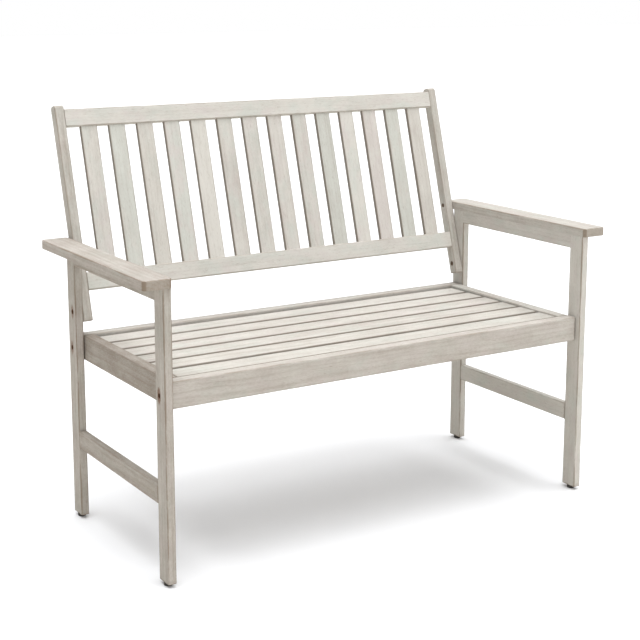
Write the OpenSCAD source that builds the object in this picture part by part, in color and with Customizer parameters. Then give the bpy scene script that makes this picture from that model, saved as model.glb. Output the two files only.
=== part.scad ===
// Garden bench for two: two side frames of legs, arms and stretchers, a slatted seat
// frame bolted between them, and a leaning slatted backrest bolted to the rear legs.
// Every board is its own solid. X runs across the bench, +Y to the back, +Z up, and the
// origin is on the floor under the middle of the bench's outline.

/* [Overall] */
// Width over both arms
bench_w = 1200; // [1000:10:1600]
// Height of the arms' top faces above the floor
arm_top_z = 646; // [600:1:680]
// How far the arms stand out past the legs' outer faces
arm_overhang = 45; // [20:1:60]

/* [Legs] */
// Thickness of the leg boards, across the bench
leg_t = 19; // [18:0.5:30]
// Depth of the leg boards, front to back
leg_d = 43; // [40:1:60]
// From the front leg's front face to the rear leg's front face
leg_pitch = 455; // [430:5:520]
// Radius of the legs' eased edges
leg_edge_r = 3; // [1:0.5:5]

/* [Arms] */
// Thickness of the arm boards
arm_t = 20; // [18:1:30]
// How far the arms stand out in front of the front legs
arm_front_reach = 7; // [2:1:20]
// How far the arms run on behind the rear legs
arm_back_reach = 38; // [36:1:60]
// Radius of the arms' corners, seen from above
arm_corner_r = 10; // [4:1:20]

/* [Side rails] */
// Height of the rail under each arm, which is as thick as the legs
arm_rail_h = 32; // [28:1:50]
// Thickness of each stretcher
stretcher_t = 19; // [12:1:19]
// Height of each stretcher
stretcher_h = 41; // [34:1:60]
// Height of the stretchers' lower edges above the floor
stretcher_z = 169; // [100:1:220]
// Radius of the stretchers' long edges
stretcher_edge_r = 4; // [2:1:8]

/* [Seat] */
// Height of the seat frame's top edge above the floor
seat_top_z = 431; // [400:1:470]
// Thickness of the four seat rails
seat_rail_t = 28; // [24:1:34]
// Height of the four seat rails
seat_rail_h = 58; // [54:1:80]
// Gap between the seat frame and the legs, filled by spacers on the bolts
seat_side_gap = 2; // [1:0.5:3]
// How far the front rail stands back from the front legs' faces
seat_front_inset = 13; // [8:1:14]
// How far the back rail stands in from the rear legs' back faces
seat_back_inset = 4; // [2:1:8]
// Radius of the seat rails' long edges
seat_rail_edge_r = 4; // [1:1:6]
// Thickness of the seat slats
seat_slat_t = 15; // [12:1:20]
// Gap between one seat slat and the next
seat_slat_gap = 8; // [5:1:12]
// Drop of the slats below the frame's top edge at the front
seat_dip_front = 2; // [1:0.5:4]
// Drop of the slats below the frame's top edge at the back
seat_dip_back = 7; // [4:0.5:10]

/* [Backrest] */
// Angle that the backrest leans back from upright
lean = 16.1; // [10:0.1:20]
// Height of the stiles' lower front corners above the floor
stile_foot_z = 465; // [458:1:475]
// Distance of those corners behind the front legs' front faces
stile_foot_y = 453; // [450:1:455]
// Length of the stiles
stile_len = 496; // [440:1:520]
// Width of the stiles, across the bench
stile_w = 23; // [18:1:26]
// Depth of the stiles
stile_d = 25; // [22:1:30]
// Height of the two backrest rails, along the lean
back_rail_h = 41; // [36:1:50]
// Thickness of the two backrest rails
back_rail_t = 20; // [18:1:22]
// From the stiles' feet to the bottom rail's lower edge
bottom_rail_s = 69; // [66:1:90]
// How far the stiles stand up past the top rail
stile_horn = 10; // [8:1:20]
// Width of the backrest slats
back_slat_w = 41; // [30:1:50]
// Thickness of the backrest slats
back_slat_t = 10; // [8:1:12]
// How far the slats stand back from the rails' front faces
back_slat_inset = 4; // [2:0.5:5]
// From one backrest slat to the next, centre to centre
back_slat_pitch = 70.4; // [60:0.1:72]

/* [Feet] */
// Diameter of the glides under the legs
glide_d = 18.5; // [16:0.5:19]
// Height of the glides
glide_h = 8; // [6:0.5:12]

/* [Hidden] */
$fn = 48;

SEAT_SLATS = 6;
BACK_SLATS = 14;

// the two-digit number that ends a backrest slat's name
function two_digits(i) = i < 10 ? str("0", i) : str(i);

whitewash = [0.84, 0.81, 0.76];
bare_wood = [0.76, 0.62, 0.45];
bronze = [0.30, 0.24, 0.19];
black = [0.08, 0.08, 0.08];

// side frames
leg_out_x = bench_w / 2 - arm_overhang;
leg_in_x = leg_out_x - leg_t;
leg_mid_x = leg_out_x - leg_t / 2;
rear_leg_y = leg_pitch;
arm_z = arm_top_z - arm_t;
side_rail_len = rear_leg_y - leg_d;
arm_rail_z = arm_z - arm_rail_h;
arm_end_y = rear_leg_y + leg_d + arm_back_reach;

// tenons of the arm rails and stretchers, and dowels between legs and arms
side_tenon_t = 9;
side_tenon_shoulder = 6;
arm_rail_tenon = 14;
stretcher_tenon = 20;
arm_dowel_d = 10;
arm_dowel_in_leg = 14;
arm_dowel_in_arm = 12;

// seat frame
seat_out_x = leg_in_x - seat_side_gap;
seat_in_x = seat_out_x - seat_rail_t;
seat_z = seat_top_z - seat_rail_h;
seat_front_y = seat_front_inset;
seat_back_y = rear_leg_y + leg_d - seat_back_inset;
well_front_y = seat_front_y + seat_rail_t;
well_back_y = seat_back_y - seat_rail_t;
well_d = well_back_y - well_front_y;
seat_tilt = atan((seat_dip_back - seat_dip_front) / well_d);
well_slope_d = well_d / cos(seat_tilt);
slat_side_gap = 3;
slat_end_gap = 6.5;
seat_slat_run = well_slope_d - 2 * slat_end_gap + seat_slat_gap;
seat_slat_pitch = seat_slat_run / SEAT_SLATS;
seat_slat_w = seat_slat_pitch - seat_slat_gap;
seat_slat_r = 3;
batten_h = 22;
side_batten_w = 22;
centre_batten_w = 40;
side_batten_x = seat_in_x - side_batten_w / 2;
batten_xs = [-side_batten_x, 0, side_batten_x];

// seat frame's dowels and its battens' screws
seat_dowel_d = 8;
seat_dowel_in_end = 22;
seat_dowel_in_face = 18;
seat_dowel_rise = 14.5;
dowel_x = seat_in_x + seat_rail_t / 2;
batten_joint_z = seat_top_z - seat_dip_back - seat_slat_t - batten_h / 2 + 2;
batten_screw_d = 4;
batten_screw_len = 40;
slat_screw_d = 3.5;
slat_screw_len = 30;

// bolts through the rear and front legs into the ends of the seat's long rails
bolt_d = 6;
bolt_hole_d = 6.4;
bolt_head_d = 10;
bolt_head_h = 5;
counterbore_d = 11;
counterbore_h = 9;
hex_key = 4;
hex_depth = 2.5;
seat_bolt_len = 60;
seat_bolt_z = seat_z + seat_rail_h / 2;
front_bolt_y = seat_front_y + seat_rail_t / 2;
back_bolt_y = seat_back_y - seat_rail_t / 2;
barrel_nut_d = 10;
barrel_nut_len = 20;
barrel_nut_x = leg_in_x - 40;
seat_bolt_tip_x = leg_out_x - counterbore_h - seat_bolt_len;
spacer_d = 18;

// backrest, in its own leaning frame: x across, y from front to back, z up the lean
stile_in_x = leg_in_x - stile_w;
stile_top_r = 8;
top_rail_s = stile_len - stile_horn - back_rail_h;
back_rail_tenon = 12;
back_tenon_t = 12;
back_tenon_shoulder = 6;
slat_housing = 10;
back_slat_s = bottom_rail_s + back_rail_h - slat_housing;
back_slat_len = top_rail_s - bottom_rail_s - back_rail_h + 2 * slat_housing;
back_slat_r = 2;

// bolts that hold the backrest: low down through the rear legs, high up into the arms
back_bolt_s = 26;
back_bolt_len = 24;
back_pivot_y = stile_foot_y + back_bolt_s * sin(lean) + stile_d / 2 * cos(lean);
back_pivot_z = stile_foot_z + back_bolt_s * cos(lean) - stile_d / 2 * sin(lean);
sleeve_d = 8.5;
sleeve_len = 12;
sleeve_head_d = 12;
sleeve_head_h = 2;
sleeve_recess = 3;
arm_bolt_z = arm_top_z - arm_t / 2;
arm_bolt_y = back_pivot_y + (arm_bolt_z - back_pivot_z) * tan(lean);
arm_bolt_len = 45;
arm_bolt_recess = 5;

// glides and their nails
glide_edge_r = 2;
nail_d = 3;
nail_head_d = 7;
nail_head_h = 1.6;
nail_head_z = 3;
nail_top_z = 30;

// the whole outline from front to back, and the front legs' place in it
bench_back_y = stile_foot_y + stile_len * sin(lean) + stile_d * cos(lean)
    - stile_top_r * (sin(lean) + cos(lean) - 1);
front_leg_y = -(bench_back_y - arm_front_reach) / 2;

// ---- shapes that the boards share ----

// rectangle a by b from its lowest corner, with its corners rounded
module eased_rectangle(a, b, r) {
    translate([r, 0]) square([a - 2 * r, b]);
    translate([0, r]) square([a, b - 2 * r]);
    for (x = [r, a - r], y = [r, b - r]) translate([x, y]) circle(r);
}

// boards of size [x, y, z] from their lowest corner, their long edges eased by r
module board_x(size, r) {
    rotate([90, 0, 90]) linear_extrude(size[0]) eased_rectangle(size[1], size[2], r);
}

module board_y(size, r) {
    translate([0, size[1], 0])
        rotate([90, 0, 0]) linear_extrude(size[1]) eased_rectangle(size[0], size[2], r);
}

module board_z(size, r) {
    linear_extrude(size[2]) eased_rectangle(size[0], size[1], r);
}

// round bar or bore from a point, of diameter d and length len, along one axis
module bar_x(from, len, d) {
    translate(from) rotate([0, 90, 0]) cylinder(h = len, d = d);
}

module bar_y(from, len, d) {
    translate(from) rotate([-90, 0, 0]) cylinder(h = len, d = d);
}

module bar_z(from, len, d) {
    translate(from) cylinder(h = len, d = d);
}

// moves what is measured from the front legs' front faces to its place on the bench
module in_place() {
    translate([0, front_leg_y, 0]) children();
}

// the right-hand side is drawn, and the left-hand side is its mirror image
module on_side(left) {
    mirror([left ? 1 : 0, 0, 0]) in_place() children();
}

// both sides at once, for fasteners that share a node
module on_both_sides() {
    on_side(false) children();
    on_side(true) children();
}

// the leaning frame of the backrest, with its origin at the stiles' lower front corners
module on_backrest() {
    translate([0, stile_foot_y, stile_foot_z]) rotate([-lean, 0, 0]) children();
}

// the sloping frame of the seat, with its origin on the slats' top at the front rail
module on_seat() {
    translate([0, well_front_y, seat_top_z - seat_dip_front])
        rotate([-seat_tilt, 0, 0]) children();
}

// ---- side frames ----

// leg with its lowest front corner at y, mortised towards its neighbour leg, which lies
// behind it (facing 1) or in front of it (facing -1)
module leg(y, facing) {
    mortise_x = leg_mid_x - side_tenon_t / 2;
    mortise_y = facing > 0 ? y + leg_d : y;
    bolt_y = facing > 0 ? front_bolt_y : back_bolt_y;
    difference() {
        translate([leg_in_x, y, glide_h]) board_z([leg_t, leg_d, arm_z - glide_h], leg_edge_r);
        // mortises for the arm rail and the stretcher
        side_mortise(mortise_x, mortise_y, facing, arm_rail_z, arm_rail_h, arm_rail_tenon);
        side_mortise(mortise_x, mortise_y, facing, stretcher_z, stretcher_h, stretcher_tenon);
        // dowel up into the arm, and the glide's nail
        bar_z([leg_mid_x, y + leg_d / 2, arm_z - arm_dowel_in_leg], arm_dowel_in_leg, arm_dowel_d);
        bar_z([leg_mid_x, y + leg_d / 2, glide_h], nail_top_z - glide_h, nail_d);
        // bolt into the seat frame
        bolt_hole(bolt_y, seat_bolt_z);
        if (facing < 0) bolt_hole(back_pivot_y, back_pivot_z);
    }
}

module side_mortise(x, y, facing, z, h, depth) {
    translate([x, facing > 0 ? y - depth : y, z + side_tenon_shoulder])
        cube([side_tenon_t, depth, h - 2 * side_tenon_shoulder]);
}

// counterbored hole through a leg
module bolt_hole(y, z) {
    bar_x([leg_in_x, y, z], leg_t, bolt_hole_d);
    bar_x([leg_out_x - counterbore_h, y, z], counterbore_h, counterbore_d);
}

module front_leg(left) {
    color(whitewash) on_side(left) leg(0, 1);
}

module rear_leg(left) {
    color(whitewash) on_side(left) leg(rear_leg_y, -1);
}

// flat board on both legs, from the legs' inner faces outwards
module arm(left) {
    color(whitewash) on_side(left) difference() {
        translate([leg_in_x, -arm_front_reach, arm_z])
            linear_extrude(arm_t)
                eased_rectangle(leg_t + arm_overhang, arm_end_y + arm_front_reach, arm_corner_r);
        for (y = [0, rear_leg_y])
            bar_z([leg_mid_x, y + leg_d / 2, arm_z], arm_dowel_in_arm, arm_dowel_d);
        arm_bolt_hole();
    }
}

// hole along X for the bolt from the stile into the arm's edge
module arm_bolt_hole() {
    start_x = stile_in_x + arm_bolt_recess;
    bar_x([start_x, arm_bolt_y, arm_bolt_z], arm_bolt_len, bolt_d);
}

// rail on edge between the legs, t thick, with a shouldered tenon at each end
module side_rail(z, t, h, tenon, r) {
    translate([leg_mid_x - t / 2, leg_d, z]) board_y([t, side_rail_len, h], r);
    translate([leg_mid_x - side_tenon_t / 2, leg_d - tenon, z + side_tenon_shoulder])
        cube([side_tenon_t, side_rail_len + 2 * tenon, h - 2 * side_tenon_shoulder]);
}

// rail level with the legs' faces, its upper edges square against the arm
module arm_rail(left) {
    color(whitewash) on_side(left) {
        side_rail(arm_rail_z, leg_t, arm_rail_h, arm_rail_tenon, leg_edge_r);
        translate([leg_in_x, leg_d, arm_z - leg_edge_r])
            cube([leg_t, side_rail_len, leg_edge_r]);
    }
}

module stretcher(left) {
    color(whitewash) on_side(left)
        side_rail(stretcher_z, stretcher_t, stretcher_h, stretcher_tenon, stretcher_edge_r);
}

// ---- seat frame ----

// long rail of the seat frame with its lowest front corner at y, bored for the bolts,
// their barrel nuts and the dowels; facing is 1 where the well is behind it
module long_seat_rail(y, facing) {
    bolt_y = y + seat_rail_t / 2;
    inner_y = facing > 0 ? y + seat_rail_t - seat_dowel_in_face : y;
    difference() {
        translate([-seat_out_x, y, seat_z])
            board_x([2 * seat_out_x, seat_rail_t, seat_rail_h], seat_rail_edge_r);
        for (side = [-1, 1]) {
            bar_x([side > 0 ? seat_bolt_tip_x : -seat_out_x, bolt_y, seat_bolt_z],
                seat_out_x - seat_bolt_tip_x, bolt_hole_d);
            bar_z([side * barrel_nut_x, bolt_y, seat_z],
                (seat_rail_h + barrel_nut_len) / 2, barrel_nut_d);
        }
        seat_dowel_row(inner_y, seat_dowel_in_face);
    }
}

// the dowels, or their holes, at one long rail of the seat frame
module seat_dowel_row(y, len) {
    for (x = [-dowel_x, dowel_x], rise = [-seat_dowel_rise, seat_dowel_rise])
        bar_y([x, y, seat_bolt_z + rise], len, seat_dowel_d);
    bar_y([0, y, batten_joint_z], len, seat_dowel_d);
}

module seat_front_rail() {
    color(whitewash) in_place() long_seat_rail(seat_front_y, 1);
}

module seat_back_rail() {
    color(whitewash) in_place() long_seat_rail(well_back_y, -1);
}

// short rail between the front and back rails
module seat_side_rail(left) {
    color(whitewash) on_side(left) difference() {
        translate([seat_in_x, well_front_y, seat_z])
            board_y([seat_rail_t, well_d, seat_rail_h], seat_rail_edge_r);
        seat_dowel_row(well_front_y, seat_dowel_in_end);
        seat_dowel_row(well_back_y - seat_dowel_in_end, seat_dowel_in_end);
        batten_screw_row();
    }
}

// middle of seat slat i, measured back from the front rail along the slope
function seat_slat_y(i) = slat_end_gap + seat_slat_w / 2 + (i - 1) * seat_slat_pitch;

module seat_slat(i) {
    half_len = seat_in_x - slat_side_gap;
    color(whitewash) in_place() on_seat() difference() {
        translate([-half_len, seat_slat_y(i) - seat_slat_w / 2, -seat_slat_t])
            board_x([2 * half_len, seat_slat_w, seat_slat_t], seat_slat_r);
        slat_screws_under(i);
    }
}

// countersunk screws up through the battens into seat slat i, or their holes
module slat_screws_under(i) {
    for (x = batten_xs)
        translate([x, seat_slat_y(i), -seat_slat_t - batten_h])
            countersunk_screw(slat_screw_d, slat_screw_len);
}

// countersunk wood screw with its head's face at the origin, pointing up
module countersunk_screw(d, len) {
    cylinder(h = d / 2, d1 = 2 * d, d2 = d);
    cylinder(h = len, d = d);
}

// batten under the slats, cut off square at both long rails
module batten(x, w) {
    difference() {
        intersection() {
            on_seat() translate([x - w / 2, -batten_h, -seat_slat_t - batten_h])
                cube([w, well_slope_d + 2 * batten_h, batten_h]);
            translate([x - w / 2, well_front_y, 0]) cube([w, well_d, seat_top_z]);
        }
        on_seat() for (i = [1:SEAT_SLATS]) slat_screws_under(i);
    }
}

module seat_centre_batten() {
    color(whitewash) in_place() difference() {
        batten(0, centre_batten_w);
        seat_dowel_row(well_front_y, seat_dowel_in_end);
        seat_dowel_row(well_back_y - seat_dowel_in_end, seat_dowel_in_end);
    }
}

module seat_side_batten(left) {
    color(whitewash) on_side(left) difference() {
        batten(side_batten_x, side_batten_w);
        batten_screw_row();
    }
}

// screws, or their holes, from a side batten into the side rail, between the slats
module batten_screw_row() {
    for (i = [1, 3, 5])
        translate([seat_in_x - side_batten_w, well_front_y + seat_slat_y(i + 0.5), batten_joint_z])
            rotate([0, 90, 0]) countersunk_screw(batten_screw_d, batten_screw_len);
}

// ---- backrest ----

// stile with its top's front and back corners rounded, mortised for both rails
module back_stile(left) {
    color(whitewash) on_side(left) difference() {
        on_backrest() difference() {
            translate([stile_in_x, 0, 0]) rotate([90, 0, 90]) linear_extrude(stile_w) stile_outline();
            for (s = [bottom_rail_s, top_rail_s]) back_rail_tenons(s);
        }
        // bolt from the leg, and the sleeve nut that it meets
        bar_x([stile_in_x, back_pivot_y, back_pivot_z], stile_w, bolt_hole_d);
        bar_x([stile_in_x, back_pivot_y, back_pivot_z], sleeve_recess, sleeve_head_d);
        bar_x([stile_in_x, back_pivot_y, back_pivot_z], sleeve_recess + sleeve_len, sleeve_d);
        // bolt into the arm
        bar_x([stile_in_x, arm_bolt_y, arm_bolt_z], arm_bolt_recess, counterbore_d);
        arm_bolt_hole();
    }
}

module stile_outline() {
    square([stile_d, stile_len - stile_top_r]);
    translate([stile_top_r, 0]) square([stile_d - 2 * stile_top_r, stile_len]);
    for (y = [stile_top_r, stile_d - stile_top_r])
        translate([y, stile_len - stile_top_r]) circle(stile_top_r);
}

// the two tenons of a backrest rail whose lower edge is s up the stiles
module back_rail_tenons(s) {
    half = stile_in_x + back_rail_tenon;
    translate([-half, (back_rail_t - back_tenon_t) / 2, s + back_tenon_shoulder])
        cube([2 * half, back_tenon_t, back_rail_h - 2 * back_tenon_shoulder]);
}

// rail between the stiles, front faces level, with a housing for every slat
module back_rail(s) {
    color(whitewash) in_place() on_backrest() difference() {
        union() {
            translate([-stile_in_x, 0, s])
                board_x([2 * stile_in_x, back_rail_t, back_rail_h], leg_edge_r);
            back_rail_tenons(s);
        }
        for (i = [1:BACK_SLATS]) back_slat_bar(i, 0);
    }
}

function back_slat_x(i) = (i - (BACK_SLATS + 1) / 2) * back_slat_pitch;

// slat i with its long edges eased by r, or square where r is 0
module back_slat_bar(i, r) {
    translate([back_slat_x(i) - back_slat_w / 2, back_slat_inset, back_slat_s])
        if (r > 0) board_z([back_slat_w, back_slat_t, back_slat_len], r);
        else cube([back_slat_w, back_slat_t, back_slat_len]);
}

module back_slat(i) {
    color(whitewash) in_place() on_backrest() back_slat_bar(i, back_slat_r);
}

// ---- feet ----

// moulded disc with its lower edge rounded, around a nail's head
module glide(left, y) {
    color(black) on_side(left) translate([leg_mid_x, y + leg_d / 2, 0]) difference() {
        rotate_extrude() intersection() {
            union() {
                translate([0, glide_edge_r]) square([glide_d / 2, glide_h - glide_edge_r]);
                square([glide_d / 2 - glide_edge_r, glide_h]);
                translate([glide_d / 2 - glide_edge_r, glide_edge_r]) circle(glide_edge_r);
            }
            square([glide_d / 2, glide_h]);
        }
        glide_nail();
    }
}

module glide_nail() {
    bar_z([0, 0, nail_head_z], nail_head_h, nail_head_d);
    bar_z([0, 0, nail_head_z], nail_top_z - nail_head_z, nail_d);
}

module glide_nails() {
    color(bronze) on_both_sides() for (y = [0, rear_leg_y])
        translate([leg_mid_x, y + leg_d / 2, 0]) glide_nail();
}

// ---- fasteners ----

// bolt along -X with its head's face at the origin and a hexagon socket in it
module socket_bolt(len) {
    rotate([0, -90, 0]) difference() {
        union() {
            cylinder(h = bolt_head_h, d = bolt_head_d);
            cylinder(h = bolt_head_h + len, d = bolt_d);
        }
        cylinder(h = hex_depth, d = hex_key / cos(30), $fn = 6);
    }
}

module seat_bolts() {
    color(bronze) on_both_sides() for (y = [front_bolt_y, back_bolt_y])
        translate([leg_out_x - counterbore_h + bolt_head_h, y, seat_bolt_z])
            socket_bolt(seat_bolt_len);
}

// washers on the seat's bolts, between the legs and the long seat rails
module seat_spacers() {
    color(bronze) on_both_sides() for (y = [front_bolt_y, back_bolt_y])
        difference() {
            bar_x([seat_out_x, y, seat_bolt_z], seat_side_gap, spacer_d);
            bar_x([seat_out_x, y, seat_bolt_z], seat_side_gap, bolt_d);
        }
}

// upright barrels in the long seat rails, each with a cross hole for its bolt
module seat_barrel_nuts() {
    color(bronze) on_both_sides() for (y = [front_bolt_y, back_bolt_y])
        difference() {
            bar_z([barrel_nut_x, y, seat_bolt_z - barrel_nut_len / 2], barrel_nut_len, barrel_nut_d);
            bar_x([barrel_nut_x - barrel_nut_d, y, seat_bolt_z], 2 * barrel_nut_d, bolt_d);
        }
}

module backrest_bolts() {
    color(bronze) on_both_sides()
        translate([leg_out_x - counterbore_h + bolt_head_h, back_pivot_y, back_pivot_z])
            socket_bolt(back_bolt_len);
}

module backrest_sleeve_nuts() {
    head_x = stile_in_x + sleeve_recess - sleeve_head_h;
    color(bronze) on_both_sides() difference() {
        union() {
            bar_x([head_x, back_pivot_y, back_pivot_z], sleeve_head_h, sleeve_head_d);
            bar_x([head_x, back_pivot_y, back_pivot_z], sleeve_head_h + sleeve_len, sleeve_d);
        }
        bar_x([stile_in_x + sleeve_recess, back_pivot_y, back_pivot_z], sleeve_len, bolt_d);
        translate([head_x, back_pivot_y, back_pivot_z]) rotate([0, 90, 0])
            cylinder(h = sleeve_head_h, d = hex_key / cos(30), $fn = 6);
    }
}

// bolts from the stiles' inner faces into the arms' edges, their heads inwards
module arm_bolts() {
    head_x = stile_in_x + arm_bolt_recess - bolt_head_h;
    color(bronze) on_both_sides() translate([head_x, arm_bolt_y, arm_bolt_z])
        mirror([1, 0, 0]) socket_bolt(arm_bolt_len);
}

module arm_dowels() {
    color(bare_wood) on_both_sides() for (y = [0, rear_leg_y])
        bar_z([leg_mid_x, y + leg_d / 2, arm_z - arm_dowel_in_leg],
            arm_dowel_in_leg + arm_dowel_in_arm, arm_dowel_d);
}

module seat_dowels() {
    dowel_len = seat_dowel_in_face + seat_dowel_in_end;
    color(bare_wood) in_place() {
        seat_dowel_row(well_front_y - seat_dowel_in_face, dowel_len);
        seat_dowel_row(well_back_y - seat_dowel_in_end, dowel_len);
    }
}

module batten_screws() {
    color(bronze) on_both_sides() batten_screw_row();
}

module slat_screws() {
    color(bronze) in_place() on_seat() for (i = [1:SEAT_SLATS]) slat_screws_under(i);
}

front_leg(true);  // left_front_leg
front_leg(false);  // right_front_leg
rear_leg(true);  // left_rear_leg
rear_leg(false);  // right_rear_leg
arm(true);  // left_arm
arm(false);  // right_arm
arm_rail(true);  // left_arm_rail
arm_rail(false);  // right_arm_rail
stretcher(true);  // left_stretcher
stretcher(false);  // right_stretcher
seat_front_rail();
seat_back_rail();
seat_side_rail(true);  // seat_left_rail
seat_side_rail(false);  // seat_right_rail
for (i = [1:SEAT_SLATS])
    seat_slat(i);
seat_side_batten(true);  // seat_left_batten
seat_centre_batten();
seat_side_batten(false);  // seat_right_batten
back_stile(true);  // left_back_stile
back_stile(false);  // right_back_stile
back_rail(top_rail_s);  // back_top_rail
back_rail(bottom_rail_s);  // back_bottom_rail
for (i = [1:BACK_SLATS])
    back_slat(i);
glide(true, 0);  // left_front_glide
glide(false, 0);  // right_front_glide
glide(true, rear_leg_y);  // left_rear_glide
glide(false, rear_leg_y);  // right_rear_glide
glide_nails();
seat_bolts();
seat_spacers();
seat_barrel_nuts();
backrest_bolts();
backrest_sleeve_nuts();
arm_bolts();
arm_dowels();
seat_dowels();
batten_screws();
slat_screws();
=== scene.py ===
# Garden bench for two in whitewashed acacia, put together as its maker would: the side
# frames, the seat, the backrest, then the feet and fasteners. Sizes are in metres.
import math
import random

import bmesh
import bpy
from mathutils import Matrix, Vector


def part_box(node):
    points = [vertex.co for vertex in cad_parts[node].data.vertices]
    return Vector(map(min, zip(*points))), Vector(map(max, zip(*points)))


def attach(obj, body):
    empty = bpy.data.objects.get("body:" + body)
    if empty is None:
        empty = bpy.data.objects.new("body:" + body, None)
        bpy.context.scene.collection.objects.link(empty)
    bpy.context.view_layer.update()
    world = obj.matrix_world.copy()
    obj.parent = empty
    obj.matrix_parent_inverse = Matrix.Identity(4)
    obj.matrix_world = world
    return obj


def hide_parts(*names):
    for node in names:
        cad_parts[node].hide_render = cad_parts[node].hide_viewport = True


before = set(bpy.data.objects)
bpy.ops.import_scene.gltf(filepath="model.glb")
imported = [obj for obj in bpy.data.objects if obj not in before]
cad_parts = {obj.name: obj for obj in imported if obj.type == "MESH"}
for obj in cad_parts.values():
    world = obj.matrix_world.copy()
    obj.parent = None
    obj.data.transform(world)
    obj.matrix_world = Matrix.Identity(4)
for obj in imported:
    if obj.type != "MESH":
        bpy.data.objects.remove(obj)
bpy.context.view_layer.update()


# ---- Legs ----
# Four uprights of planed acacia, their long edges eased with sandpaper. A thin white
# wash is brushed on along the grain and rubbed back, so the grain shows through it and
# the edges wear brown. Their outer faces are counterbored for the frame's bolts.

leg_edge_radius = 0.003
leg_end_ease = 0.0012
counterbore_width = 0.011
counterbore_depth = 0.009
corner_steps = 6
ease_steps = 4

wash_cream = (0.640, 0.620, 0.575, 1.0)
wash_rose = (0.615, 0.575, 0.545, 1.0)
wash_sage = (0.590, 0.600, 0.555, 1.0)
wood_through = (0.290, 0.247, 0.206, 1.0)
grain_brown = (0.235, 0.175, 0.125, 1.0)
rubbed_brown = (0.205, 0.150, 0.100, 1.0)
# bare wood on the narrow sides, dark enough to be painted shade of the gaps as well
bare_side_and_shade_brown = (0.140, 0.110, 0.084, 1.0)
bolt_stain_brown = (0.170, 0.085, 0.045, 1.0)
raw_dark_brown = (0.130, 0.065, 0.035, 1.0)
raw_light_brown = (0.240, 0.135, 0.075, 1.0)
raw_ring_brown = (0.090, 0.045, 0.025, 1.0)


def add_node(tree, kind, inputs, **settings):
    """Adds a node to a tree, with its settings and with values or links on its inputs."""
    made = tree.nodes.new(kind)
    for name, value in settings.items():
        setattr(made, name, value)
    for name, value in inputs.items():
        if isinstance(value, bpy.types.NodeSocket):
            tree.links.new(value, made.inputs[name])
        else:
            made.inputs[name].default_value = value
    return made


def reckon(tree, operation, first, second=0.0):
    """A sum of two values, as a Math node."""
    return add_node(tree, "ShaderNodeMath", {0: first, 1: second}, operation=operation).outputs[0]


def plus(tree, first, second):
    """One value and another."""
    return reckon(tree, "ADD", first, second)


def minus(tree, first, second):
    """One value less another."""
    return reckon(tree, "SUBTRACT", first, second)


def times(tree, first, second):
    """One value times another."""
    return reckon(tree, "MULTIPLY", first, second)


def reckon_vector(tree, operation, first, second=(0.0, 0.0, 0.0)):
    """A sum of two vectors, as a Vector Math node."""
    return add_node(tree, "ShaderNodeVectorMath", {0: first, 1: second}, operation=operation).outputs[0]


def distance(tree, vector):
    """How long a vector is."""
    return add_node(tree, "ShaderNodeVectorMath", {0: vector}, operation="LENGTH").outputs["Value"]


def fade(tree, value, start, end):
    """Nought where the value is at start, one where it is at end, smooth between."""
    inputs = {"Value": value, "From Min": start, "From Max": end}
    made = add_node(tree, "ShaderNodeMapRange", inputs, interpolation_type="SMOOTHSTEP")
    return made.outputs["Result"]


def cover(tree, share, under, over):
    """Lays one colour over another, as thickly as the share says."""
    inputs = {0: share, 6: under, 7: over}
    return add_node(tree, "ShaderNodeMix", inputs, data_type="RGBA").outputs[2]


def stretch(tree, place, along):
    """Draws a pattern out along the board, so many times longer than it is wide."""
    return reckon_vector(tree, "MULTIPLY", place, (1.0 / along, 1.0, 1.0))


def mottle(tree, place, per_metre, detail, roughness=0.5):
    """Soft noise with about so many patches to the metre."""
    inputs = {"Vector": place, "Scale": per_metre, "Detail": detail, "Roughness": roughness}
    return add_node(tree, "ShaderNodeTexNoise", inputs)


def start_group(name, takes, gives):
    """Opens a shader group, and returns it with its inputs and its outputs."""
    group = bpy.data.node_groups.new(name, "ShaderNodeTree")
    for label, kind in takes:
        group.interface.new_socket(label, in_out="INPUT", socket_type="NodeSocket" + kind)
    for label, kind in gives:
        group.interface.new_socket(label, in_out="OUTPUT", socket_type="NodeSocket" + kind)
    entry = group.nodes.new("NodeGroupInput")
    way_out = group.nodes.new("NodeGroupOutput")
    return group, entry.outputs, way_out.inputs


def sawn_grain_group():
    """Grain of a sawn board: fine streaks, growth rings and pores, all along its length."""
    takes = [("Place", "Vector"), ("Ring gap", "Float")]
    gives = [(n, "Float") for n in ("Streaks", "Rings", "Pores", "Flow")]
    group, taken, given = start_group("sawn grain", takes, gives)
    wander = mottle(group, stretch(group, taken["Place"], 7), 26, 2).outputs["Color"]
    centred = reckon_vector(group, "SUBTRACT", wander, (0.5, 0.5, 0.5))
    nudge = reckon_vector(group, "MULTIPLY", centred, (0.0, 0.016, 0.016))
    bent = reckon_vector(group, "ADD", nudge, taken["Place"])
    fine = mottle(group, stretch(group, bent, 34), 640, 3, 0.62).outputs[0]
    broad = mottle(group, stretch(group, bent, 22), 150, 3, 0.6).outputs[0]
    both = plus(group, times(group, fine, 0.45), times(group, broad, 0.55))
    group.links.new(fade(group, both, 0.5, 0.68), given["Streaks"])
    group.links.new(broad, given["Flow"])
    out = distance(group, reckon_vector(group, "MULTIPLY", bent, (0.0, 1.0, 1.0)))
    year = reckon(group, "FRACT", reckon(group, "DIVIDE", out, taken["Ring gap"]))
    late = times(group, fade(group, year, 0.45, 0.9), fade(group, year, 1.0, 0.92))
    group.links.new(late, given["Rings"])
    dashes = mottle(group, stretch(group, bent, 16), 1150, 1).outputs[0]
    group.links.new(fade(group, dashes, 0.63, 0.74), given["Pores"])
    return group


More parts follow.
